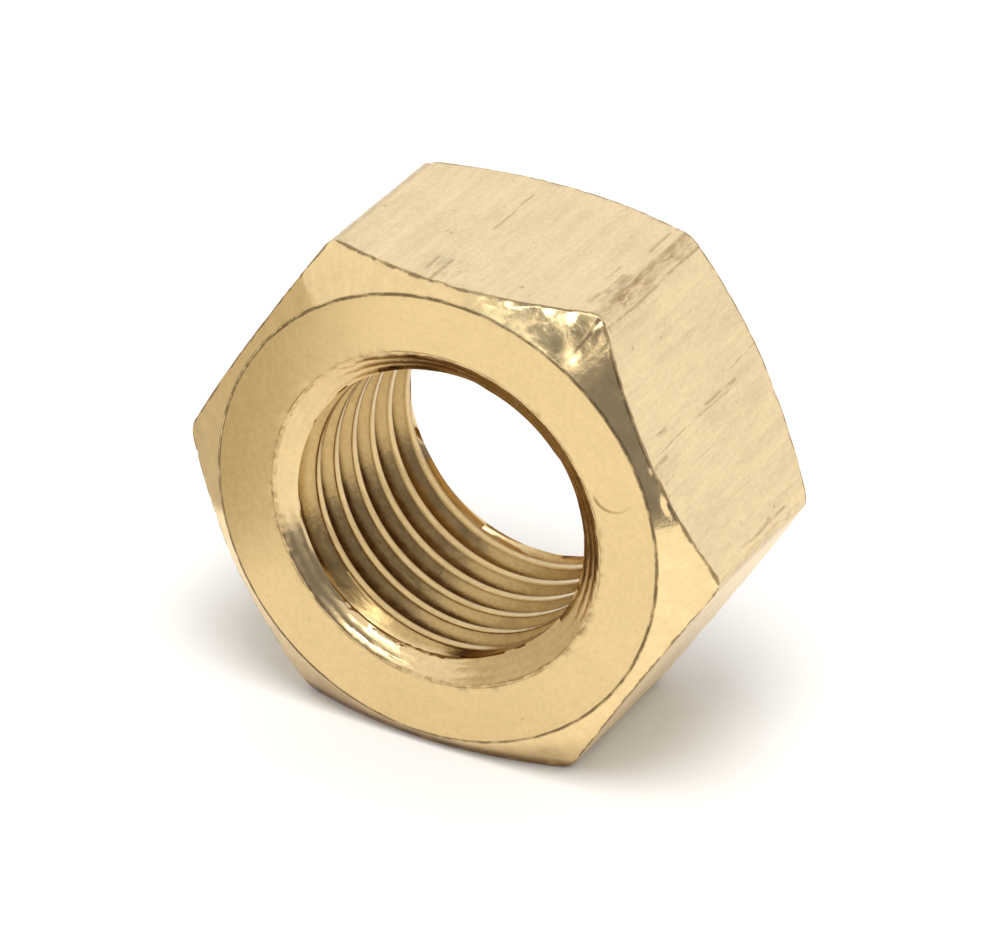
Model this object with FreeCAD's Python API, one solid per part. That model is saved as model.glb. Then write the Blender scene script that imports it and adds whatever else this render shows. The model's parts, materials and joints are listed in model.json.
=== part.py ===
import FreeCAD, Part
import math
import os

# Plain hexagon nut with a fine right-hand thread, turned from drawn brass bar.
# It stands on one of its flats: +Z is up, the bore runs along Y, and the origin
# is on the bore axis, halfway through the nut. Everything is in millimetres.

# Hexagonal bar
ACROSS_FLATS = 27.0
THICKNESS = 14.4
CORNER_RADIUS = 1.1

# Turned ends: a flat ring, with a conical chamfer outside it
FACE_DIAMETER = 25.5
CHAMFER_ANGLE = 35.0

# Countersink at both ends of the bore (the angle is across the whole cone)
MOUTH_DIAMETER = 19.0
COUNTERSINK_ANGLE = 105.0

# Metric thread M18 x 2, 60 degree profile. The tap cuts a little over 18 mm, and
# the bore is at the top of its tolerance.
MAJOR_DIAMETER = 18.2
MINOR_DIAMETER = 16.2
PITCH = 2.0
FLANK_ANGLE = 30.0
ROOT_FLAT = PITCH / 8

# Cutting shapes run past the surface that they cut by this much
OVERCUT = 1.0
# The thread cutter starts this far inside the bore wall, and turns this many
# times before it meets the nut
CUTTER_REACH = 0.15
RUN_OUT_TURNS = 2

SIDES = 6
HALF_THICKNESS = THICKNESS / 2
CORNER_DISTANCE = ACROSS_FLATS / 2 / math.cos(math.pi / SIDES)
ORIGIN = FreeCAD.Vector(0, 0, 0)
BORE_AXIS = FreeCAD.Vector(0, 0, 1)
PARALLEL = 1e-6  # sine of the widest angle between lines that count as parallel

# Angles in degrees
FULL_TURN = 360
QUARTER_TURN = 90
CYLINDRICAL = 0  # cone angle of the helix


def revolve(outline, angle=FULL_TURN):
    """The solid swept by a closed (radius, z) outline turned about the bore axis."""
    points = [FreeCAD.Vector(radius, 0, z) for radius, z in outline]
    face = Part.Face(Part.makePolygon(points + points[:1]))
    return face.revolve(ORIGIN, BORE_AXIS, angle)


def runs_along_bore(edge):
    """Whether a straight edge is parallel to the bore."""
    return edge.tangentAt(edge.FirstParameter).cross(BORE_AXIS).Length < PARALLEL


def hexagonal_bar():
    """The blank: a hexagonal prism with slightly rounded long edges."""
    corners = []
    for i in range(SIDES + 1):
        angle = 2 * math.pi * i / SIDES
        x = CORNER_DISTANCE * math.cos(angle)
        y = CORNER_DISTANCE * math.sin(angle)
        corners.append(FreeCAD.Vector(x, y, -HALF_THICKNESS))
    prism = Part.Face(Part.makePolygon(corners)).extrude(BORE_AXIS * THICKNESS)
    long_edges = [edge for edge in prism.Edges if runs_along_bore(edge)]
    return prism.makeFillet(CORNER_RADIUS, long_edges)


def turned_envelope():
    """The lathe-turned outer shape, whose cones chamfer the bar's six corners."""
    face_radius = FACE_DIAMETER / 2
    outer_radius = CORNER_DISTANCE + OVERCUT
    drop = (outer_radius - face_radius) * math.tan(math.radians(CHAMFER_ANGLE))
    upper = [
        (0, HALF_THICKNESS),
        (face_radius, HALF_THICKNESS),
        (outer_radius, HALF_THICKNESS - drop),
    ]
    lower = [(radius, -z) for radius, z in reversed(upper)]
    return revolve(upper + lower)


def plain_bore():
    """The hole drilled before tapping, with its two countersinks.

    It is made in quarters, so that each turn of the thread's crest is four short
    faces and not one long winding one.
    """
    bore_radius = MINOR_DIAMETER / 2
    mouth_radius = MOUTH_DIAMETER / 2
    slope = math.tan(math.radians(COUNTERSINK_ANGLE / 2))
    sink_depth = (mouth_radius - bore_radius) / slope
    top = HALF_THICKNESS + OVERCUT
    upper = [
        (bore_radius, HALF_THICKNESS - sink_depth),
        (mouth_radius + OVERCUT * slope, top),
        (0, top),
    ]
    lower = [(radius, -z) for radius, z in reversed(upper)]
    quarters = []
    for start in range(0, FULL_TURN, QUARTER_TURN):
        quarter = revolve(upper + lower, QUARTER_TURN)
        quarter.rotate(ORIGIN, BORE_AXIS, start)
        quarters.append(quarter)
    return quarters[0].fuse(quarters[1:])


def thread_cutter():
    """The helical groove. It starts and ends well outside the nut's two faces."""
    inner_radius = MINOR_DIAMETER / 2 - CUTTER_REACH
    root_radius = MAJOR_DIAMETER / 2
    flank_run = (root_radius - inner_radius) * math.tan(math.radians(FLANK_ANGLE))
    half_root = ROOT_FLAT / 2
    half_opening = half_root + flank_run
    start = -HALF_THICKNESS - RUN_OUT_TURNS * PITCH
    groove = [
        FreeCAD.Vector(inner_radius, 0, start - half_opening),
        FreeCAD.Vector(root_radius, 0, start - half_root),
        FreeCAD.Vector(root_radius, 0, start + half_root),
        FreeCAD.Vector(inner_radius, 0, start + half_opening),
    ]
    outline = Part.makePolygon(groove + groove[:1])
    height = 2 * abs(start)
    helix = Part.makeLongHelix(PITCH, height, inner_radius, CYLINDRICAL)
    helix.translate(BORE_AXIS * start)
    # The flags ask for a closed solid, and for a section that keeps its tilt.
    return helix.makePipeShell([outline], True, True)


def nut_body():
    """The finished nut, turned so that its bore lies along Y and a flat is down."""
    blank = hexagonal_bar().common(turned_envelope())
    tapped = blank.cut(plain_bore()).cut(thread_cutter())
    tapped.rotate(ORIGIN, FreeCAD.Vector(1, 0, 0), QUARTER_TURN)
    return tapped.Solids[0]


os.makedirs("parts", exist_ok=True)
nut_body().exportStep("parts/nut_body.step")
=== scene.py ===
import json
import math
import random

import bmesh
import bpy
import numpy as np
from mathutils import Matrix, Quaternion, Vector, noise


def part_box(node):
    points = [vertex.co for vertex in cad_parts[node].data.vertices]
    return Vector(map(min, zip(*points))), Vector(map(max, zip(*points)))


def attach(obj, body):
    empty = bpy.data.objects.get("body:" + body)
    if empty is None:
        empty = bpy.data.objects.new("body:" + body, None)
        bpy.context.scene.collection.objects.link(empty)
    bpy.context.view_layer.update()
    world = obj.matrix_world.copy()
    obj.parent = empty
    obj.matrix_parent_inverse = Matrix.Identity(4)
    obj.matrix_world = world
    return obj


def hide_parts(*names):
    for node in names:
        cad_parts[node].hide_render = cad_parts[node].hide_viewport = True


# Brass hex nut, standing on one flat: +Z is up and the bore runs along Y.
# Lengths are in metres, written as a number of millimetres times MM.
MM = 0.001

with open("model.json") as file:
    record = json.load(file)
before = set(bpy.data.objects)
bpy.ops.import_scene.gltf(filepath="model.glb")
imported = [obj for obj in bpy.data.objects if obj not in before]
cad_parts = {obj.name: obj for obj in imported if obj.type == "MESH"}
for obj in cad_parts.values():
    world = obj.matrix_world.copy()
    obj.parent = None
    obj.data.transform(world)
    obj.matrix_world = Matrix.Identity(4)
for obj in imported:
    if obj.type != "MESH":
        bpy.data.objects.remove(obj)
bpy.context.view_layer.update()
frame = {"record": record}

# Sizes taken from the CAD nut
NODE = "nut_body"
LOW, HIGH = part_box(NODE)
THREAD = next(m for m in frame["record"]["mounts"] if m["name"] == "thread")["dims"]
HALF_FLATS = (HIGH.z - LOW.z) / 2
HALF_THICKNESS = (HIGH.y - LOW.y) / 2
CREST_RADIUS = THREAD["r_mm"] * MM
HALF_BORE = THREAD["length_mm"] * MM / 2

# Sizes the frame doesn't state, as in the CAD source
CORNER_RADIUS = 1.1 * MM
FACE_RADIUS = 12.75 * MM
CHAMFER_SLOPE = math.tan(math.radians(35))
MOUTH_RADIUS = 9.5 * MM
ROOT_RADIUS = 9.1 * MM
PITCH = 2.0 * MM
ROOT_FLAT = PITCH / 8
FLANK_SLOPE = math.tan(math.radians(30))
# The groove's middle at angle 0, two turns past the back face
GROOVE_START = HALF_THICKNESS + 2 * PITCH

# Where along Y the groove's middle is when it has faded out, and how far back that starts
GROOVE_END = 6.5 * MM
GROOVE_FADE = 0.5 * MM

# Radii of the rounded edges, and the fine line cut round the face where the chamfer starts
CHAMFER_EDGE = 0.12 * MM
MOUTH_EDGE = 0.14 * MM
CREST_EDGE = 0.08 * MM
RIM_CUT_WIDTH = 0.10 * MM
RIM_CUT_DEPTH = 0.05 * MM
# Width of the narrow strip beside each of them, which keeps the surface next to it flat
SUPPORT = 0.06 * MM

SIDES = 6
SIXTH = math.tau / SIDES

# How finely the surface is divided
CORNER_STEPS = 10
FLAT_STEPS = 60
EDGE_STEPS = 3
FACE_ROWS = 9
CHAMFER_ROWS = 8
FLAT_ROWS = 32
# Points closer than this become one, and edges that turn by more than SHARP stay sharp
MERGE = 0.0005 * MM
SHARP = math.radians(38)

# The parts of the surface with a look of their own, in the order of their materials
ZONES = ("flat", "face", "chamfer", "sink", "thread")


# ------------------------------------------------------------ the nut's shape


def bar_outline():
    """Angles and radii of the stations round the bar, from angle 0, in order."""
    inset = (HALF_FLATS - CORNER_RADIUS) / math.cos(SIXTH / 2)
    stations = []
    for side in range(SIDES):
        middle = side * SIXTH
        normal = middle + SIXTH / 2
        centre = inset * np.array((math.cos(middle), math.sin(middle)))
        after = inset * np.array((math.cos(middle + SIXTH), math.sin(middle + SIXTH)))
        lift = CORNER_RADIUS * np.array((math.cos(normal), math.sin(normal)))
        for step in range(CORNER_STEPS + 1):
            turn = middle + SIXTH * (step / CORNER_STEPS - 0.5)
            stations.append(centre + CORNER_RADIUS * np.array((math.cos(turn), math.sin(turn))))
        for step in range(1, FLAT_STEPS):
            stations.append(lift + centre + (after - centre) * step / FLAT_STEPS)
    ordered = sorted((round(math.atan2(y, x) % math.tau, 9), math.hypot(x, y)) for x, y in stations)
    return np.array(ordered)


def rounded(before, corner, after, radius):
    """The points of the small arc that replaces a sharp corner of a section."""
    back = (before - corner).normalized()
    on = (after - corner).normalized()
    half = back.angle(on) / 2
    reach = radius / math.tan(half)
    middle = corner + (back + on).normalized() * (radius / math.sin(half))
    start = corner + back * reach - middle
    end = corner + on * reach - middle
    whole = start.angle(end)
    points = []
    for step in range(EDGE_STEPS + 1):
        part = step / EDGE_STEPS
        mix = start * math.sin((1 - part) * whole) + end * math.sin(part * whole)
        points.append(middle + mix / math.sin(whole))
    return points


def between(start, end, count):
    """The points strictly between two points, evenly spaced."""
    return [start.lerp(end, step / count) for step in range(1, count)]


def half_section(outer):
    """(radius, depth, zone) from the bore's mouth to the middle of the bar's outside."""
    inside = Vector((CREST_RADIUS, HALF_BORE))
    mouth = Vector((MOUTH_RADIUS, HALF_THICKNESS))
    rim = Vector((FACE_RADIUS, HALF_THICKNESS))
    drop = (outer - FACE_RADIUS) * CHAMFER_SLOPE
    brink = Vector((outer, HALF_THICKNESS - drop))
    middle = Vector((outer, 0))
    down = (brink - rim).normalized()
    mouth_arc = rounded(inside, mouth, rim, MOUTH_EDGE)
    brink_arc = rounded(rim, brink, middle, CHAMFER_EDGE)
    cut_start = rim - Vector((RIM_CUT_WIDTH / 2, 0))
    cut_end = rim + down * RIM_CUT_WIDTH / 2
    cut_floor = rim - Vector((0, RIM_CUT_DEPTH))
    face_start = mouth_arc[-1] + Vector((SUPPORT, 0))
    face_end = cut_start - Vector((SUPPORT, 0))
    slope_start = cut_end + down * SUPPORT
    slope_end = brink_arc[0] - down * SUPPORT
    side_start = brink_arc[-1] - Vector((0, SUPPORT))
    rows = [(p, "sink") for p in mouth_arc[:-1]]
    rows += [(mouth_arc[-1], "face"), (face_start, "face")]
    rows += [(p, "face") for p in between(face_start, face_end, FACE_ROWS)]
    rows += [(face_end, "face"), (cut_start, "face"), (cut_floor, "chamfer")]
    rows += [(cut_end, "chamfer"), (slope_start, "chamfer")]
    rows += [(p, "chamfer") for p in between(slope_start, slope_end, CHAMFER_ROWS)]
    rows += [(p, "chamfer") for p in [slope_end] + brink_arc[:-1]]
    rows += [(brink_arc[-1], "flat"), (side_start, "flat")]
    rows += [(p, "flat") for p in between(side_start, middle, FLAT_ROWS // 2)]
    return [(p.x, p.y, zone) for p, zone in rows]


def outer_section(outer):
    """Front mouth, front face, outside, back face, back mouth."""
    half = half_section(outer)
    front = [(radius, -depth, zone) for radius, depth, zone in half]
    back = [(radius, depth, zone) for radius, depth, zone in reversed(half)]
    return front + [(outer, 0.0, "flat")] + back


def groove_nodes():
    """(distance past a groove's middle, radius) over one pitch of the thread."""
    root = ROOT_FLAT / 2
    lip = root + (ROOT_RADIUS - CREST_RADIUS) * FLANK_SLOPE
    ease = CREST_EDGE
    flank = [root + (lip - ease - root) * part for part in (0, 0.08, 0.36, 0.66, 0.92, 1)]
    near = [(along, ROOT_RADIUS - (along - root) / FLANK_SLOPE) for along in flank]
    near += [(lip - ease * 0.2, CREST_RADIUS + ease * 0.35), (lip + ease * 0.7, CREST_RADIUS)]
    far = [(PITCH - along, radius) for along, radius in reversed(near)]
    return np.array(near + [(PITCH / 2, CREST_RADIUS)] + far)


def bore_grid(angles):
    """(y, radius) arrays for the tapped bore: its rows follow the thread's helix."""
    nodes = groove_nodes()
    arc = rounded(
        Vector((CREST_RADIUS, HALF_BORE)),
        Vector((MOUTH_RADIUS, HALF_THICKNESS)),
        Vector((FACE_RADIUS, HALF_THICKNESS)),
        MOUTH_EDGE,
    )
    end = arc[0].y
    slope = (MOUTH_RADIUS - CREST_RADIUS) / (HALF_THICKNESS - HALF_BORE)
    first = GROOVE_START - PITCH * math.ceil((GROOVE_START + end) / PITCH)
    turns = math.ceil((end - first) / PITCH) + 2
    offsets = np.concatenate(([-nodes[0, 0]], nodes[:, 0], [PITCH + nodes[0, 0]]))
    heights = np.concatenate(([ROOT_RADIUS], nodes[:, 1], [ROOT_RADIUS]))
    ys = []
    radii = []
    for angle in angles:
        start = first - PITCH * angle / math.tau
        y = np.concatenate([start + turn * PITCH + nodes[:, 0] for turn in range(turns)])
        gap = np.minimum(np.diff(y, prepend=y[0] - PITCH), np.diff(y, append=y[-1] + PITCH))
        for foot in (-HALF_BORE, HALF_BORE):
            # The point nearest to the countersink's foot moves on to it, for a clean edge
            pull = np.clip(4 - 8 * np.abs(y - foot) / gap, 0, 1)
            y = y + (foot - y) * pull
        y = np.clip(y, -end, end)
        thread = np.interp((y - start) % PITCH, offsets, heights)
        middle = start + PITCH * np.round((y - start) / PITCH)
        fade = np.clip((GROOVE_END - np.abs(middle)) / GROOVE_FADE, 0, 1)
        thread = CREST_RADIUS + (thread - CREST_RADIUS) * fade
        cone = CREST_RADIUS + np.maximum(np.abs(y) - HALF_BORE, 0) * slope
        ys.append(y)
        radii.append(np.maximum(thread, cone))
    return np.array(ys), np.array(radii)


def grid_mesh(bm, ys, radii, angles, zone_of):
    """Adds a sheet of quads whose columns stand at the angles; zone_of names each quad's zone."""
    columns = []
    for angle, y_column, r_column in zip(angles, ys, radii):
        cos = math.cos(angle)
        sin = math.sin(angle)
        columns.append([bm.verts.new((r * cos, y, r * sin)) for y, r in zip(y_column, r_column)])
    for left, right in zip(columns, columns[1:]):
        for row in range(len(left) - 1):
            face = bm.faces.new((left[row], left[row + 1], right[row + 1], right[row]))
            face.smooth = True
            face.material_index = ZONES.index(zone_of(row, face))


def nut_mesh():
    """The closed surface of the whole nut, each face given the material index of its zone."""
    outline = bar_outline()
    angles = np.append(outline[:, 0], math.tau)
    radii = np.append(outline[:, 1], outline[0, 1])
    sections = [outer_section(radius) for radius in radii]
    names = [zone for _, _, zone in sections[0]]
    outer_r = np.array([[r for r, _, _ in section] for section in sections])
    outer_y = np.array([[y for _, y, _ in section] for section in sections])
    bore_y, bore_r = bore_grid(angles)

    def outside_zone(row, _face):
        return names[row]

    def bore_zone(_row, face):
        depth = abs(face.calc_center_median().y)
        return "sink" if depth > HALF_BORE else "thread"

    bm = bmesh.new()
    grid_mesh(bm, outer_y, outer_r, angles, outside_zone)
    grid_mesh(bm, bore_y, bore_r, angles, bore_zone)
    bmesh.ops.remove_doubles(bm, verts=bm.verts, dist=MERGE)
    bmesh.ops.dissolve_degenerate(bm, edges=bm.edges, dist=MERGE)
    bmesh.ops.recalc_face_normals(bm, faces=bm.faces)
    mesh = bpy.data.meshes.new("hex_nut")
    bm.to_mesh(mesh)
    bm.free()
    return mesh


# ------------------------------------------------------------ wear and marks

# Depths of the waves over the outside, and of the nicks in the edges and the mouths
LONG_WAVE = 0.010 * MM
SHORT_WAVE = 0.008 * MM
NICK_DEPTH = 0.17 * MM
RIM_NICK = 0.06 * MM

# Small dents: how many, their random draw, radii, and depths as parts of the radius
DINGS = 46
DING_SEED = 16
DING_RADII = (0.16, 0.42)
DING_DEPTHS = (0.06, 0.14)

# How worn each long edge is, from the one at +X round towards +Z
EDGE_WEAR = (0.35, 1.0, 0.3, 0.45, 0.5, 0.45)
# The angles off a long edge between which its wear fades
CORNER_WEAR = (math.radians(1.2), math.radians(3.4))
# Sets which stretches of the mouths carry a burr
BURR_PLACE = Vector((3.1, 0.4, 5.2))


def smooth_step(low, high, value):
    """0 below low, 1 above high, and smooth between."""
    part = min(max((value - low) / (high - low), 0.0), 1.0)
    return part * part * (3 - 2 * part)


def make_dings(count):
    """Small dents scattered over the flats: (centre, radius, depth)."""
    draw = random.Random(DING_SEED)
    dings = []
    for _ in range(count):
        side = draw.randrange(SIDES)
        normal = (side + 0.5) * SIXTH
        across = draw.uniform(-1, 1) * HALF_FLATS * math.tan(SIXTH / 2)
        out = Vector((math.cos(normal), 0, math.sin(normal))) * HALF_FLATS
        along = Vector((-math.sin(normal), 0, math.cos(normal))) * across
        y = draw.uniform(-1, 1) * HALF_THICKNESS * 0.95
        size = draw.uniform(*DING_RADII) * MM
        dings.append((out + along + Vector((0, y, 0)), size, size * draw.uniform(*DING_DEPTHS)))
    return dings


def near_corner(angle):
    """How much of a long edge's wear is felt at an angle round the nut."""
    off = abs((angle + SIXTH / 2) % SIXTH - SIXTH / 2)
    return (1 - smooth_step(*CORNER_WEAR, off)) * EDGE_WEAR[round(angle / SIXTH) % SIDES]


def near_brink(p, radius, angle, level):
    """1 on the edge between a flat and the chamfer, 0 away from it."""
    normal = (math.floor(angle / SIXTH) + 0.5) * SIXTH
    inset = HALF_FLATS - p.x * math.cos(normal) - p.z * math.sin(normal)
    near = 1 - smooth_step(0.05 * MM, 0.40 * MM, max(abs(abs(p.y) - level), inset))
    return near * smooth_step(FACE_RADIUS + 0.4 * MM, FACE_RADIUS + 0.64 * MM, radius)


def near_mouth(p, radius):
    """1 on the edge between a face and its countersink, 0 away from it."""
    near = 1 - smooth_step(0.03 * MM, 0.2 * MM, abs(radius - MOUTH_RADIUS))
    return near * smooth_step(HALF_THICKNESS - 0.2 * MM, HALF_THICKNESS - 0.05 * MM, abs(p.y))


def wear_depth(p, dings):
    """How far a point of the surface is worn in, and how dark its marks are."""
    q = p / MM
    radius = math.hypot(p.x, p.z)
    angle = math.atan2(p.z, p.x)
    level = HALF_THICKNESS - max(radius - FACE_RADIUS, 0) * CHAMFER_SLOPE
    outside = smooth_step(FACE_RADIUS, FACE_RADIUS + 0.6 * MM, radius)
    corner = near_corner(angle)
    brink = near_brink(p, radius, angle, level)
    mouth = near_mouth(p, radius)
    depth = outside * LONG_WAVE * noise.noise(Vector((q.x * 0.3, q.y * 0.16, q.z * 0.3)))
    depth += outside * SHORT_WAVE * noise.noise(q * 0.9)
    chips = max(noise.noise(Vector((q.x * 1.3, q.y * 0.9, q.z * 1.3))) - 0.12, 0)
    fine = max(noise.noise(q * 2.9 + Vector((7, 3, 1))) - 0.2, 0)
    on_flat = smooth_step(0.05 * MM, 0.3 * MM, level - abs(p.y))
    depth += corner * outside * NICK_DEPTH * (chips + 0.5 * fine) * (0.25 + 0.75 * on_flat)
    depth += brink * NICK_DEPTH * 0.6 * (0.6 * chips + fine)
    depth += mouth * RIM_NICK * max(noise.noise(q * 2.3) - 0.05, 0)
    for centre, size, deep in dings:
        gap = (p - centre).length
        if gap < size:
            depth += deep * (1 - (gap / size) ** 2)
    dark = corner * outside * min(4.5 * chips + 2 * fine, 1)
    dark = max(dark, brink * min(1.2 * chips + 1.5 * fine, 0.7))
    burred = smooth_step(-0.1, 0.35, noise.noise(q * 0.22 + BURR_PLACE))
    dark = max(dark, burred * mouth * smooth_step(0.0, 0.35, noise.noise(q * 2.3)))
    return depth, dark


def apply_wear(mesh):
    """Moves the vertices outside the thread in by their wear, and stores how dark its marks are."""
    dings = make_dings(DINGS)
    normals = [Vector(v.normal) for v in mesh.vertices]
    marks = mesh.attributes.new("marks", "FLOAT", "POINT")
    in_thread = ROOT_RADIUS + 0.02 * MM
    for vertex, normal in zip(mesh.vertices, normals):
        p = vertex.co.copy()
        if math.hypot(p.x, p.z) < in_thread:
            continue
        depth, dark = wear_depth(p, dings)
        vertex.co = p - normal * depth
        marks.data[vertex.index].value = dark


# ------------------------------------------------------------ node materials


class Nodes:
    """Short calls for building a shader's node tree."""

    def __init__(self, tree):
        self.tree = tree
        tree.nodes.clear()

    def add(self, kind, inputs=(), **settings):
        node = self.tree.nodes.new(kind)
        for name, value in settings.items():
            setattr(node, name, value)
        for socket, value in dict(inputs).items():
            self.feed(node.inputs[socket], value)
        return node

    def feed(self, socket, value):
        if isinstance(value, bpy.types.NodeSocket):
            self.tree.links.new(value, socket)
        else:
            socket.default_value = value

    def math(self, operation, a, b=0.0):
        return self.add("ShaderNodeMath", {0: a, 1: b}, operation=operation).outputs[0]

    def total(self, *terms):
        result = terms[0]
        for term in terms[1:]:
            result = self.math("ADD", result, term)
        return result

    def product(self, *terms):
        result = terms[0]
        for term in terms[1:]:
            result = self.math("MULTIPLY", result, term)
        return result

    def ramp(self, value, low, high, to_low=0.0, to_high=1.0):
        inputs = {"Value": value, "From Min": low, "From Max": high}
        inputs.update({"To Min": to_low, "To Max": to_high})
        return self.add("ShaderNodeMapRange", inputs, interpolation_type="SMOOTHSTEP").outputs[0]

    def scaled(self, vector, scale):
        inputs = {0: vector, 1: scale}
        return self.add("ShaderNodeVectorMath", inputs, operation="MULTIPLY").outputs[0]

    def noise(self, vector, scale, detail=2.0, rough=0.5, shift=0.0):
        moved = self.add("ShaderNodeVectorMath", {0: vector, 1: (shift,) * 3}, operation="ADD")
        place = self.scaled(moved.outputs[0], scale)
        inputs = {"Vector": place, "Scale": 1.0, "Detail": detail, "Roughness": rough}
        return self.add("ShaderNodeTexNoise", inputs).outputs["Fac"]

    def mix(self, factor, a, b):
        node = self.add("ShaderNodeMix", data_type="RGBA")
        self.feed(node.inputs[0], factor)
        self.feed(node.inputs[6], a)
        self.feed(node.inputs[7], b)
        return node.outputs[2]

    def shade(self, colour, amount):
        """The colour times a number."""
        node = self.add("ShaderNodeVectorMath", {0: colour}, operation="SCALE")
        self.feed(node.inputs["Scale"], amount)
        return node.outputs[0]

    def close(self, shader, kind="ShaderNodeOutputMaterial"):
        """Ends the tree: its output shows the shader."""
        self.feed(self.add(kind).inputs[0], shader)


# Linear colours of the metal in each zone, then of what marks it. Some mark colours also serve as
# painted shade or a painted darker reflection, and the last one tints a painted reflection.
DRAWN = (0.880, 0.705, 0.420, 1)
TURNED = (0.775, 0.580, 0.295, 1)
CUT = (0.880, 0.665, 0.350, 1)
SUNK = (0.800, 0.600, 0.320, 1)
TAPPED = (0.660, 0.480, 0.230, 1)
# Painted shade in the thread's grooves
GROOVE_SHADE = (0.385, 0.225, 0.065, 1)
TARNISH_AND_SHADE = (0.300, 0.170, 0.060, 1)
DIRT_AND_SHADE = (0.090, 0.055, 0.025, 1)
DULL_AND_SHADE = (0.340, 0.290, 0.170, 1)
REFLECTION_TINT = (0.76, 0.71, 0.60, 1)

# Roughness of the metal in each zone, before its marks
DRAWN_ROUGH = 0.34
TURNED_ROUGH = 0.30
CUT_ROUGH = 0.10
SUNK_ROUGH = 0.17
TAPPED_ROUGH = 0.15


def new_material(name):
    """A new material, its nodes, and the place on the nut in millimetres."""
    material = bpy.data.materials.new(name)
    material.use_nodes = True
    nodes = Nodes(material.node_tree)
    place = nodes.add("ShaderNodeTexCoord").outputs["Object"]
    in_mm = nodes.scaled(place, (1 / MM,) * 3)
    return material, nodes, in_mm


def finish_metal(nodes, colour, roughness, height):
    """Closes a metal material; height is in millimetres."""
    normal = nodes.add("ShaderNodeBump", {"Height": height, "Distance": MM}).outputs[0]
    inputs = {"Base Color": colour, "Roughness": roughness, "Metallic": 1.0, "Normal": normal}
    nodes.close(nodes.add("ShaderNodeBsdfPrincipled", inputs).outputs[0])


def around(nodes, in_mm):
    """Distance from the bore's axis, then x, y and z, in millimetres."""
    x, y, z = nodes.add("ShaderNodeSeparateXYZ", {0: in_mm}).outputs
    square = nodes.total(nodes.math("MULTIPLY", x, x), nodes.math("MULTIPLY", z, z))
    return nodes.math("SQRT", square), x, y, z


def band(nodes, value, middle, half_width, soft):
    """1 within half_width of the middle value, fading to 0 over the soft distance."""
    gap = nodes.math("ABSOLUTE", nodes.math("SUBTRACT", value, middle))
    return nodes.ramp(gap, half_width + soft, half_width)


def broken(n, line, patches, low, high, least=0.35):
    """A line that fades to its least strength where the patches' noise is low."""
    return n.product(line, n.ramp(patches, low, high, least, 1.0))


def wear_marks(n):
    """How dark the marks stored with the mesh are."""
    return n.add("ShaderNodeAttribute", attribute_name="marks").outputs["Fac"]


def off_edge(n, radius, y):
    """Distance along Y from the edge between a flat and the chamfer, in millimetres."""
    fall = n.product(n.math("SUBTRACT", radius, FACE_RADIUS / MM), CHAMFER_SLOPE)
    level = n.math("SUBTRACT", HALF_THICKNESS / MM, fall)
    return n.math("SUBTRACT", level, n.math("ABSOLUTE", y))


def off_flat(n, x, z):
    """Distance in from the nearest flat's plane, in millimetres."""
    cos = math.cos(SIXTH / 2)
    sin = math.sin(SIXTH / 2)
    rise = n.math("ABSOLUTE", n.total(n.product(x, cos), n.product(z, sin)))
    fall = n.math("ABSOLUTE", n.total(n.product(x, cos), n.product(z, -sin)))
    most = n.math("MAXIMUM", n.math("MAXIMUM", rise, fall), n.math("ABSOLUTE", z))
    return n.math("SUBTRACT", HALF_FLATS / MM, most)


# Distance from the bore's axis where the rounded corner starts (in mm)
CORNER_FROM = math.hypot(HALF_FLATS, (HALF_FLATS - CORNER_RADIUS) * math.tan(SIXTH / 2)) / MM

# Scratches on the flats: side, distance across it, ends along Y, half width (in mm)
SCRATCHES = (
    (0, 0.02, -5.6, 2.4, 0.020),
    (0, 0.24, 0.2, 3.4, 0.075),
    (0, 0.85, 3.6, 6.4, 0.025),
    (0, 0.80, -4.9, -4.3, 0.100),
    (0, -0.35, -6.3, -5.2, 0.090),
    (0, -1.40, -6.0, -5.4, 0.060),
    (0, -6.9, 0.2, 1.2, 0.060),
    (1, 1.20, 0.4, 4.6, 0.020),
    (1, 1.35, -6.4, -4.2, 0.060),
    (1, 2.10, -5.4, -4.2, 0.045),
    (1, -6.85, -2.9, -0.9, 0.170),
    (1, -7.50, -3.6, 1.4, 0.120),
    (1, -7.55, 2.0, 5.6, 0.080),
    (2, -7.50, -4.6, 3.0, 0.060),
    (1, -6.85, 2.4, 4.6, 0.050),
    (1, -6.60, -4.3, -3.4, 0.120),
    (1, -6.20, -1.2, -0.2, 0.050),
    (0, 7.00, -5.2, 6.0, 0.060),
    (0, -7.05, -2.0, 2.8, 0.050),
    (2, 1.9, -2.0, 6.4, 0.045),
    (2, -3.6, -5.4, 0.5, 0.030),
    (3, -1.2, -6.3, 2.2, 0.040),
    (3, 4.4, -1.0, 5.2, 0.055),
    (4, 2.4, -5.0, 1.5, 0.045),
    (5, -2.2, -3.0, 6.2, 0.040),
    (5, 4.1, -6.0, -1.5, 0.060),
)


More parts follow.
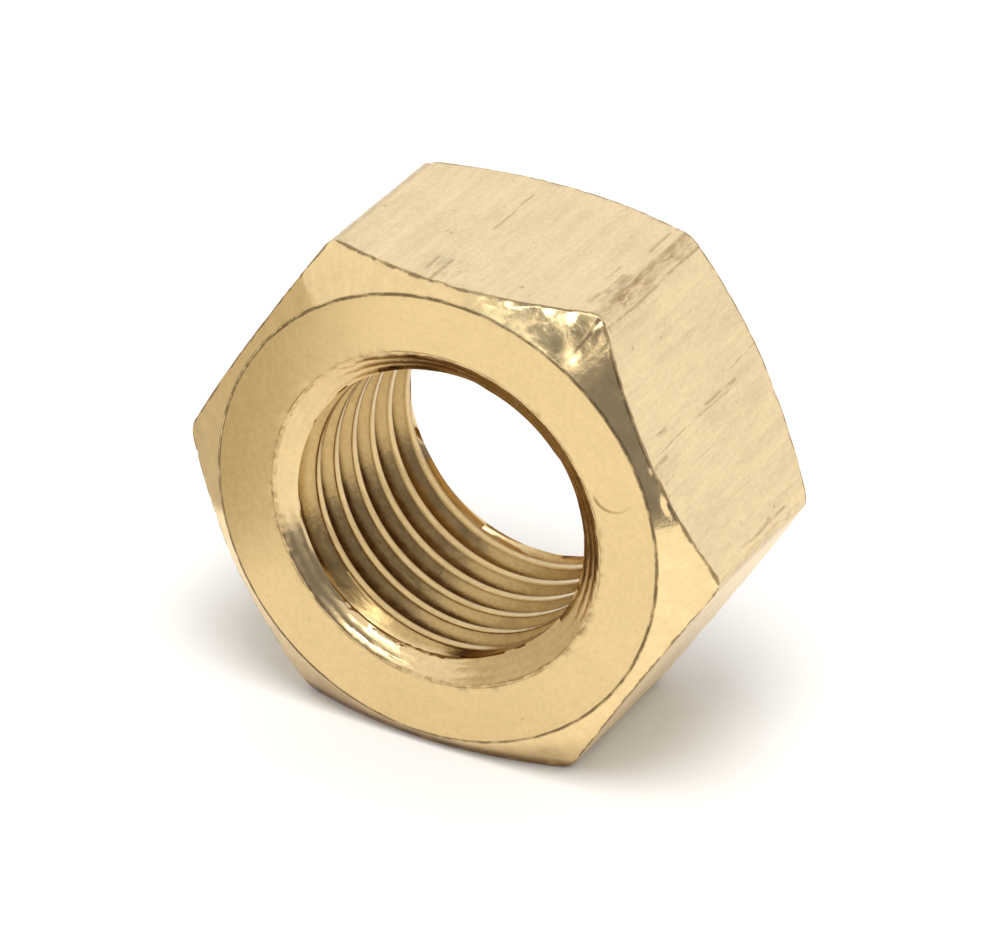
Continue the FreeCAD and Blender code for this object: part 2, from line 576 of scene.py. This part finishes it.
def scratch_lines(n, p):
    """Broken dark lines along the flats."""
    y = n.add("ShaderNodeSeparateXYZ", {0: p}).outputs[1]
    waver = n.ramp(n.noise(p, (0.25, 0.25, 0.25), 2, 0.5, 71), 0.3, 0.7, -0.08, 0.08)
    gaps = n.ramp(n.noise(p, (3.0, 0.9, 3.0), 3, 0.6, 81), 0.36, 0.52, 0.25, 1.0)
    lines = 0.0
    for side, across, start, end, half_width in SCRATCHES:
        normal = (side + 0.5) * SIXTH
        out = (math.cos(normal), 0, math.sin(normal))
        along = (-math.sin(normal), 0, math.cos(normal))
        up = n.add("ShaderNodeVectorMath", {0: p, 1: out}, operation="DOT_PRODUCT")
        over = n.add("ShaderNodeVectorMath", {0: p, 1: along}, operation="DOT_PRODUCT")
        place = n.math("ADD", over.outputs["Value"], waver)
        here = n.ramp(up.outputs["Value"], HALF_FLATS / MM - 0.4, HALF_FLATS / MM - 0.2)
        line = n.product(here, band(n, place, across, half_width, 0.06))
        line = n.product(line, band(n, y, (start + end) / 2, (end - start) / 2, 0.4))
        lines = n.math("MAXIMUM", lines, line)
    return n.product(lines, gaps)


# A smudge by the top flat's front edge, and its width along X and Y (in mm)
SMUDGE = (-1.3, -5.0)
SMUDGE_SIZE = (1.9, 1.7)


def smudge_mark(n, x, y, z, speck):
    """A speckled grey patch on the top flat."""
    over = band(n, x, SMUDGE[0], 0.2, SMUDGE_SIZE[0])
    along = band(n, y, SMUDGE[1], 0.3, SMUDGE_SIZE[1])
    top = n.ramp(z, HALF_FLATS / MM - 0.6, HALF_FLATS / MM - 0.2)
    return n.product(over, along, top, n.ramp(speck, 0.42, 0.62))


def drawn_flats():
    """The bar's outside: drawn, with grain and scratches along the bore's direction."""
    material, n, p = new_material("brass_drawn")
    radius, x, y, z = around(n, p)
    grain = n.noise(p, (8, 0.45, 8), 4, 0.6)
    bands = n.noise(p, (1.5, 0.10, 1.5), 3, 0.55, 11)
    wide = n.noise(p, (0.9, 0.22, 0.9), 3, 0.6, 101)
    hair = n.noise(p, (20, 0.12, 20), 1, 0.5, 5)
    cloud = n.noise(p, (0.30, 0.24, 0.30), 3, 0.55, 3)
    speck = n.noise(p, (4.5, 3.2, 4.5), 3, 0.65, 9)
    streaky = n.noise(p, (5.0, 0.9, 5.0), 3, 0.65, 45)
    spread = n.noise(p, (0.35, 0.35, 0.35), 2, 0.5, 21)
    dots = n.noise(p, (2.6, 1.5, 2.6), 2, 0.6, 31)
    fine = n.product(n.ramp(hair, 0.69, 0.75), n.ramp(cloud, 0.45, 0.6))
    scratch = n.math("MAXIMUM", scratch_lines(n, p), n.product(fine, 0.6))
    spots = n.product(n.ramp(dots, 0.64, 0.73), n.ramp(spread, 0.54, 0.66))
    smudge = smudge_mark(n, x, y, z, streaky)
    uneven = n.noise(p, (1.1, 1.1, 1.1), 3, 0.65, 37)
    # A broken dark line along the edge with the chamfer: painted shade
    width = n.ramp(uneven, 0.3, 0.7, 0.07, 0.20)
    brink = n.ramp(n.math("DIVIDE", off_edge(n, radius, y), width), 1.1, 0.6)
    brink = broken(n, brink, uneven, 0.30, 0.55)
    # Darker on the rounded corners: partly real wear, partly painted shade
    corner = n.ramp(radius, CORNER_FROM, CORNER_FROM + 0.16)
    corner = broken(n, corner, streaky, 0.35, 0.65)
    marks = wear_marks(n)
    marks = broken(n, marks, streaky, 0.38, 0.56, 0.15)
    tone = n.total(
        n.ramp(grain, 0.25, 0.75, -0.060, 0.045),
        n.ramp(bands, 0.3, 0.7, -0.035, 0.025),
        n.ramp(wide, 0.3, 0.7, -0.045, 0.030),
        n.ramp(cloud, 0.3, 0.7, -0.020, 0.020),
        n.ramp(speck, 0.3, 0.7, -0.050, 0.040),
        1.0,
    )
    colour = n.shade(DRAWN[:3], tone)
    colour = n.mix(n.product(spots, 0.5), colour, TARNISH_AND_SHADE)
    colour = n.mix(n.product(corner, 0.42), colour, TARNISH_AND_SHADE)
    colour = n.mix(n.product(brink, 0.80), colour, TARNISH_AND_SHADE)
    colour = n.mix(n.product(smudge, 0.35), colour, DULL_AND_SHADE)
    colour = n.mix(n.product(scratch, 0.42), colour, TARNISH_AND_SHADE)
    colour = n.mix(n.product(marks, 0.55), colour, TARNISH_AND_SHADE)
    rough = n.total(DRAWN_ROUGH, n.ramp(grain, 0.25, 0.75, -0.04, 0.05), n.product(spots, 0.15))
    height = n.total(
        n.product(grain, 0.005),
        n.product(bands, 0.006),
        n.product(speck, 0.004),
        n.product(scratch, -0.02),
        n.product(spots, -0.012),
        n.product(marks, -0.02),
    )
    finish_metal(n, colour, rough, height)
    return material


# A crescent left by a knock on the front face: centre, radius and top (in mm)
CRESCENT = (9.95, 4.75)
CRESCENT_RADIUS = 1.15
CRESCENT_TOP = 4.4


def crescent_mark(n, x, y, z):
    """The part of a thin ring below its top, darker to the left."""
    over = n.math("SUBTRACT", x, CRESCENT[0])
    up = n.math("SUBTRACT", z, CRESCENT[1])
    square = n.total(n.math("MULTIPLY", over, over), n.math("MULTIPLY", up, up))
    ring = band(n, n.math("SQRT", square), CRESCENT_RADIUS, 0.03, 0.08)
    fading = n.ramp(x, CRESCENT[0] + CRESCENT_RADIUS, CRESCENT[0] - 0.4, 0.2, 1.0)
    return n.product(ring, fading, n.ramp(z, CRESCENT_TOP, CRESCENT_TOP - 0.4), n.ramp(y, 0, -1))


def turned_face():
    """The front and back faces: turned smooth, with fine rings round the bore."""
    material, n, p = new_material("brass_turned")
    radius, x, y, z = around(n, p)
    ring_place = n.add("ShaderNodeCombineXYZ", {0: radius, 1: n.product(y, 0.2)}).outputs[0]
    rings = n.noise(ring_place, (14, 1, 1), 3, 0.6)
    speck = n.noise(p, (3.5, 3.5, 3.5), 3, 0.65, 9)
    cloud = n.noise(p, (0.25, 0.25, 0.25), 3, 0.5, 13)
    # Grows towards the left, where the front face gets a painted reflection of a second nut in
    # darker gold, and its mouth has a burr
    leaning = n.total(n.product(x, -0.95), n.product(z, 0.3))
    painted_reflection = n.product(n.ramp(leaning, 6.5, 12.0), n.ramp(y, 1, -1))
    painted_reflection = n.product(painted_reflection, n.ramp(cloud, 0.25, 0.6, 0.1, 0.35))
    uneven = n.noise(p, (0.8, 0.8, 0.8), 3, 0.65, 37)
    # A broken dark line in the cut round the face: painted shade in the groove
    rim = band(n, radius, FACE_RADIUS / MM, 0.05, 0.07)
    rim = broken(n, rim, uneven, 0.36, 0.56)
    burr = n.ramp(n.noise(p, (2.6, 2.6, 2.6), 3, 0.65, 17), 0.52, 0.60)
    burr = n.product(burr, n.ramp(radius, MOUTH_RADIUS / MM + 0.35, MOUTH_RADIUS / MM + 0.05))
    burr = n.product(burr, n.ramp(leaning, 6.5, 9.0), n.ramp(z, 1.5, -1.0))
    lip = band(n, radius, MOUTH_RADIUS / MM + 0.03, 0.05, 0.08)
    lip = broken(n, lip, n.noise(p, (0.5, 0.5, 0.5), 3, 0.65, 57), 0.42, 0.58, 0.25)
    marks = wear_marks(n)
    spots = n.ramp(n.noise(p, (1.6, 1.6, 1.6), 2, 0.5, 91), 0.70, 0.76)
    knock = crescent_mark(n, x, y, z)
    tone = n.total(
        n.ramp(rings, 0.3, 0.7, -0.020, 0.015),
        n.ramp(speck, 0.3, 0.7, -0.050, 0.035),
        n.ramp(cloud, 0.3, 0.7, -0.030, 0.020),
        1.0,
    )
    colour = n.shade(TURNED[:3], tone)
    # A painted reflection of the second nut on the face's left: the colour times its tint
    reflection_tinted = n.add("ShaderNodeVectorMath", {0: colour, 1: REFLECTION_TINT[:3]}, operation="MULTIPLY")
    colour = n.mix(painted_reflection, colour, reflection_tinted.outputs[0])
    colour = n.mix(n.product(rim, 0.75), colour, DIRT_AND_SHADE)
    colour = n.mix(n.product(lip, 0.75), colour, TARNISH_AND_SHADE)
    colour = n.mix(n.product(spots, 0.25), colour, TARNISH_AND_SHADE)
    colour = n.mix(n.product(knock, 0.6), colour, TARNISH_AND_SHADE)
    colour = n.mix(n.product(n.math("MAXIMUM", burr, marks), 0.6), colour, DIRT_AND_SHADE)
    rough = n.total(TURNED_ROUGH, n.ramp(speck, 0.3, 0.7, -0.02, 0.04), n.product(rim, 0.1))
    height = n.total(
        n.product(rings, 0.002),
        n.product(speck, 0.004),
        n.product(cloud, 0.02),
        n.product(burr, -0.02),
        n.product(knock, -0.02),
    )
    finish_metal(n, colour, rough, height)
    return material


# The painted darker reflection on the front chamfer, which dims the glints there: its angle round
# the nut, and where it fades to each side
DARK_REFLECTION_TURN = math.radians(72)
DARK_REFLECTION_FADE = (0.30, 0.12)


def cut_chamfer():
    """The chamfer cones: brighter cut, with tool chatter round them and painted shade near the
    floor.
    """
    material, n, p = new_material("brass_chamfer")
    radius, x, y, z = around(n, p)
    turn = n.math("ARCTAN2", z, x)
    speck = n.noise(p, (4, 4, 4), 3, 0.65, 9)
    waves = n.noise(p, (0.8, 0.8, 0.8), 2, 0.5, 23)
    chatter = n.add("ShaderNodeCombineXYZ", {0: n.product(turn, 22), 1: n.product(radius, 0.5)})
    chatter = n.noise(chatter.outputs[0], (1, 1, 1), 3, 0.6)
    uneven = n.noise(p, (1.0, 1.0, 1.0), 3, 0.65, 37)
    # A broken dark line in the cut round the face: painted shade in the groove
    rim = band(n, radius, FACE_RADIUS / MM, 0.06, 0.08)
    rim = broken(n, rim, uneven, 0.36, 0.56)
    # A broken dark line along the chamfer's edge with the flats: painted shade
    width = n.ramp(uneven, 0.3, 0.7, 0.05, 0.16)
    brink = n.ramp(n.math("DIVIDE", off_flat(n, x, z), width), 1.2, 0.6)
    brink = broken(n, brink, uneven, 0.30, 0.55)
    marks = wear_marks(n)
    marks = n.product(marks, n.ramp(speck, 0.35, 0.6))
    tone = n.total(
        n.ramp(speck, 0.3, 0.7, -0.045, 0.030),
        n.ramp(waves, 0.3, 0.7, -0.030, 0.030),
        n.ramp(chatter, 0.3, 0.7, -0.040, 0.030),
        1.0,
    )
    colour = n.shade(CUT[:3], tone)
    colour = n.mix(n.product(rim, 0.75), colour, DIRT_AND_SHADE)
    colour = n.mix(n.product(brink, 0.72), colour, DIRT_AND_SHADE)
    colour = n.mix(n.product(marks, 0.4), colour, TARNISH_AND_SHADE)
    # Painted darker reflection: a mottled grey patch on the front chamfer
    dark_reflection = n.ramp(n.math("ABSOLUTE", n.math("SUBTRACT", turn, DARK_REFLECTION_TURN)), *DARK_REFLECTION_FADE)
    dark_reflection = n.product(dark_reflection, n.ramp(uneven, 0.35, 0.60, 0.15, 0.60), n.ramp(y, 1.0, -1.0))
    colour = n.mix(dark_reflection, colour, DULL_AND_SHADE)
    # Painted shade on the chamfer near the floor, standing in for its contact shadow
    floor_shade = n.ramp(z, -HALF_FLATS / MM + 0.9, -HALF_FLATS / MM + 0.25)
    colour = n.mix(n.product(floor_shade, n.ramp(uneven, 0.3, 0.55, 0.5, 0.9)), colour, TARNISH_AND_SHADE)
    rough = n.total(CUT_ROUGH, n.ramp(waves, 0.3, 0.7, -0.02, 0.05), n.product(rim, 0.15))
    height = n.total(n.product(waves, 0.006), n.product(speck, 0.0025), n.product(chatter, 0.006))
    finish_metal(n, colour, rough, height)
    return material


# Spacing of the tool marks round the countersinks (in mm)
SINK_MARK = 0.42


def cut_sink():
    """The countersinks: cut bright, with ring marks and a dark line at the mouth."""
    material, n, p = new_material("brass_countersink")
    radius = around(n, p)[0]
    speck = n.noise(p, (4, 4, 4), 3, 0.65, 9)
    waves = n.noise(p, (0.9, 0.9, 0.9), 2, 0.6, 51)
    wander = n.total(radius, n.ramp(waves, 0.3, 0.7, -0.05, 0.05))
    rings = n.math("SINE", n.product(wander, math.tau / SINK_MARK))
    burr = n.noise(p, (2.6, 2.6, 2.6), 3, 0.65, 17)
    marks = wear_marks(n)
    edge = n.ramp(radius, MOUTH_RADIUS / MM - 0.22, MOUTH_RADIUS / MM - 0.02)
    edge = n.math("MAXIMUM", broken(n, edge, burr, 0.42, 0.60, 0.25), marks)
    tone = n.total(
        n.ramp(speck, 0.3, 0.7, -0.05, 0.03),
        n.ramp(waves, 0.3, 0.7, -0.04, 0.03),
        n.product(rings, 0.02),
        1.0,
    )
    colour = n.shade(SUNK[:3], tone)
    colour = n.mix(n.product(edge, 0.6), colour, TARNISH_AND_SHADE)
    rough = n.total(SUNK_ROUGH, n.ramp(waves, 0.3, 0.7, -0.03, 0.05), n.product(rings, 0.06))
    height = n.total(n.product(waves, 0.004), n.product(rings, 0.0035), n.product(speck, 0.0025))
    finish_metal(n, colour, rough, height)
    return material


# Least half width of the painted highlight line along the thread's crests, and how much wider it
# gets (in mm)
CREST_HIGHLIGHT = 0.10
CREST_HIGHLIGHT_SPREAD = 0.07
# The painted shade line at each side of a crest: distance from its middle, half width, softness (in
# mm)
CREST_SIDE_SHADE = (0.27, 0.04, 0.07)


def tapped_thread():
    """The thread, painted with light and shade: a painted highlight line on the crests, flanks
    browner and roots darker as painted shade, paler at its ends.
    """
    material, n, p = new_material("brass_thread")
    radius, x, y, z = around(n, p)
    turn = n.math("ARCTAN2", z, x)
    climb = n.total(n.product(y, MM / PITCH), n.product(turn, 1 / math.tau), -GROOVE_START / PITCH)
    part = n.math("FLOORED_MODULO", climb, 1.0)
    off_crest = n.product(n.math("ABSOLUTE", n.math("SUBTRACT", part, 0.5)), PITCH / MM)
    speck = n.noise(p, (4, 4, 4), 3, 0.65, 9)
    drag = n.noise(p, (1.2, 4.0, 1.2), 3, 0.6, 61)
    uneven = n.noise(p, (0.6, 0.6, 0.6), 3, 0.6, 37)
    # The crests keep a painted highlight line, and the rest of the thread is darkened
    width = n.ramp(uneven, 0.3, 0.7, CREST_HIGHLIGHT, CREST_HIGHLIGHT + CREST_HIGHLIGHT_SPREAD)
    off_highlight = n.ramp(n.math("SUBTRACT", off_crest, width), 0.0, 0.06)
    # Painted shade: a dark line beside each crest, and darker roots
    lip = band(n, off_crest, *CREST_SIDE_SHADE)
    root = n.ramp(radius, ROOT_RADIUS / MM - 0.40, ROOT_RADIUS / MM - 0.05)
    tone = n.total(n.ramp(speck, 0.3, 0.7, -0.08, 0.05), n.ramp(drag, 0.3, 0.7, -0.09, 0.06), 1.0)
    # Painted shade, darker towards the roots and off the crest line
    deep = n.ramp(radius, CREST_RADIUS / MM, ROOT_RADIUS / MM - 0.15)
    deep = n.math("MAXIMUM", deep, n.product(off_highlight, 0.4))
    # The painted shade grows further into the bore, and near the mouths the thread takes the
    # countersink's colour
    inside = n.ramp(n.math("ABSOLUTE", y), HALF_BORE / MM + 0.15, HALF_BORE / MM - 0.75)
    colour = n.mix(n.product(deep, n.ramp(inside, 0, 1, 0.35, 1.0)), TAPPED, GROOVE_SHADE)
    colour = n.mix(n.product(n.math("MAXIMUM", lip, root), inside, 0.4), colour, TARNISH_AND_SHADE)
    colour = n.shade(n.mix(n.ramp(inside, 0, 0.5), SUNK, colour), tone)
    rough = n.total(TAPPED_ROUGH, n.product(off_highlight, 0.06), n.ramp(drag, 0.3, 0.7, -0.03, 0.05))
    height = n.total(n.product(drag, 0.008), n.product(speck, 0.005))
    finish_metal(n, colour, rough, height)
    return material


# ------------------------------------------------------------ the nut

nut_shape = nut_mesh()
apply_wear(nut_shape)
nut_shape.set_sharp_from_angle(angle=SHARP)
for make in (drawn_flats, turned_face, cut_chamfer, cut_sink, tapped_thread):
    nut_shape.materials.append(make())
nut = bpy.data.objects.new("hex_nut", nut_shape)
bpy.context.scene.collection.objects.link(nut)
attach(nut, "root")
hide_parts(NODE)

# ------------------------------------------------------------ floor and light

FLOOR_SIZE = 4.0
FLOOR_COLOUR = (0.715, 0.712, 0.706, 1)


def matt(name, colour):
    """Paper: one plain colour with no shine."""
    material = bpy.data.materials.new(name)
    material.use_nodes = True
    shader = material.node_tree.nodes["Principled BSDF"]
    shader.inputs["Base Color"].default_value = colour
    shader.inputs["Roughness"].default_value = 0.95
    shader.inputs["Specular IOR Level"].default_value = 0.0
    return material


def stage_mesh(name, corners, faces, material):
    """A mesh that belongs to the studio, not to the nut."""
    mesh = bpy.data.meshes.new(name)
    mesh.from_pydata(corners, [], faces)
    mesh.materials.append(material)
    piece = bpy.data.objects.new(name, mesh)
    bpy.context.scene.collection.objects.link(piece)
    return piece


edge = FLOOR_SIZE / 2
corners = [(-edge, -edge, LOW.z), (edge, -edge, LOW.z), (edge, edge, LOW.z), (-edge, edge, LOW.z)]
stage_mesh("floor", corners, [(0, 1, 2, 3)], matt("paper", FLOOR_COLOUR))


def direction(azimuth, elevation):
    """The unit vector towards a place round the nut, in degrees; azimuth 0 is -Y."""
    a = math.radians(azimuth)
    e = math.radians(elevation)
    return Vector((math.sin(a) * math.cos(e), -math.cos(a) * math.cos(e), math.sin(e)))


def screen(name, corners, colour):
    """A flat card beside the nut, seen only in its shine."""
    material = bpy.data.materials.new(name)
    material.use_nodes = True
    nodes = Nodes(material.node_tree)
    nodes.close(nodes.add("ShaderNodeEmission", {"Color": colour}).outputs[0])
    faces = [(i, i + 1, i + 3, i + 2) for i in range(0, len(corners) - 2, 2)]
    piece = stage_mesh(name, corners, faces, material)
    piece.visible_camera = False
    piece.visible_diffuse = False
    piece.visible_shadow = False


# The dark shape of someone in front: first and last azimuth, distance and top of each part
SHADE_PARTS = ((-10, 16, 0.60, 0.545), (16, 45, 0.60, 0.330), (-4, 47, 0.09, 0.006))
SHADE_STEPS = 8
SHADE_COLOUR = (0.26, 0.258, 0.27, 1)
for part, (first, last, distance, top) in enumerate(SHADE_PARTS):
    corners = []
    for step in range(SHADE_STEPS + 1):
        foot = direction(first + (last - first) * step / SHADE_STEPS, 0) * distance
        corners += [(foot.x, foot.y, LOW.z), (foot.x, foot.y, top)]
    screen(f"front_screen_{part}", corners, SHADE_COLOUR)

# A second nut's end face, to the left
BESIDE_AZIMUTH = -64.6
BESIDE_DISTANCE = 24.8 * MM
BESIDE_HALF_WIDTH = 15.4 * MM
BESIDE_COLOUR = (0.66, 0.60, 0.50, 1)
beside = direction(BESIDE_AZIMUTH, 0) * BESIDE_DISTANCE
across = Vector((-beside.y, beside.x, 0)).normalized() * BESIDE_HALF_WIDTH
left = beside - across
right = beside + across
edges = [(left.x, left.y, LOW.z), (left.x, left.y, HIGH.z)]
edges += [(right.x, right.y, LOW.z), (right.x, right.y, HIGH.z)]
screen("left_screen", edges, BESIDE_COLOUR)

# A white room, a little darker towards the horizon
ROOM_COLOUR = (1.0, 0.99, 0.975, 1)
world = bpy.data.worlds.new("room")
world.use_nodes = True
bpy.context.scene.world = world
room = Nodes(world.node_tree)
towards = room.add("ShaderNodeTexCoord").outputs["Generated"]
up = room.add("ShaderNodeSeparateXYZ", {0: towards}).outputs[2]
strength = room.ramp(up, 0.0, 0.35, 0.87, 1.0)
backdrop = room.add("ShaderNodeBackground", {0: ROOM_COLOUR, 1: strength})
room.close(backdrop.outputs[0], "ShaderNodeOutputWorld")


def light(name, kind, azimuth, elevation, distance, power, roll=0.0, **settings):
    """A lamp that faces the nut, turned about the line to it by the roll."""
    data = bpy.data.lights.new(name, kind)
    data.energy = power
    for setting, value in settings.items():
        setattr(data, setting, value)
    lamp = bpy.data.objects.new(name, data)
    lamp.location = direction(azimuth, elevation) * distance
    lamp.rotation_mode = "QUATERNION"
    facing = direction(azimuth, elevation).to_track_quat("Z", "Y")
    lamp.rotation_quaternion = facing @ Quaternion((0, 0, 1), math.radians(roll))
    bpy.context.scene.collection.objects.link(lamp)
    return lamp


KEY_AZIMUTH = 24
KEY_ELEVATION = 74
KEY_POWER = 2.1
key_look = {"angle": math.radians(30), "color": (1.0, 0.985, 0.965)}
key = light("key", "SUN", KEY_AZIMUTH, KEY_ELEVATION, 1.0, KEY_POWER, **key_look)
# Only the floor shows it: a mirror image of it would burn out the flats seen from the side
key.visible_glossy = False

# Bright tubes in front of the tall dark part: azimuth, elevation, length, power
TUBES = ((-7, 37.0, 0.14, 0.016), (8, 37.6, 0.20, 0.046), (6, 40.2, 0.21, 0.080))
TUBE_DISTANCE = 0.5
TUBE_WIDTH = 0.010
TUBE_ROLL = -21
for count, (azimuth, elevation, length, power) in enumerate(TUBES):
    form = {"shape": "RECTANGLE", "size": length, "size_y": TUBE_WIDTH}
    light(f"tube_{count}", "AREA", azimuth, elevation, TUBE_DISTANCE, power, TUBE_ROLL, **form)

# ------------------------------------------------------------ camera

CAMERA_AZIMUTH = 25.43
CAMERA_ELEVATION = 29.08
CAMERA_DISTANCE = 0.3705
CAMERA_ROLL = math.radians(3.53)
LENS = 255.0
SENSOR_WIDTH = 36.0
NEAREST = 0.01
FARTHEST = 10.0

camera_data = bpy.data.cameras.new("camera")
camera_data.lens = LENS
camera_data.sensor_width = SENSOR_WIDTH
camera_data.clip_start = NEAREST
camera_data.clip_end = FARTHEST
camera = bpy.data.objects.new("camera", camera_data)
bpy.context.scene.collection.objects.link(camera)
aim = direction(CAMERA_AZIMUTH, CAMERA_ELEVATION)
camera.location = (LOW + HIGH) / 2 + aim * CAMERA_DISTANCE
camera.rotation_mode = "QUATERNION"
camera.rotation_quaternion = aim.to_track_quat("Z", "Y") @ Quaternion((0, 0, 1), CAMERA_ROLL)
bpy.context.scene.camera = camera
bpy.context.scene.view_settings.view_transform = "Standard"
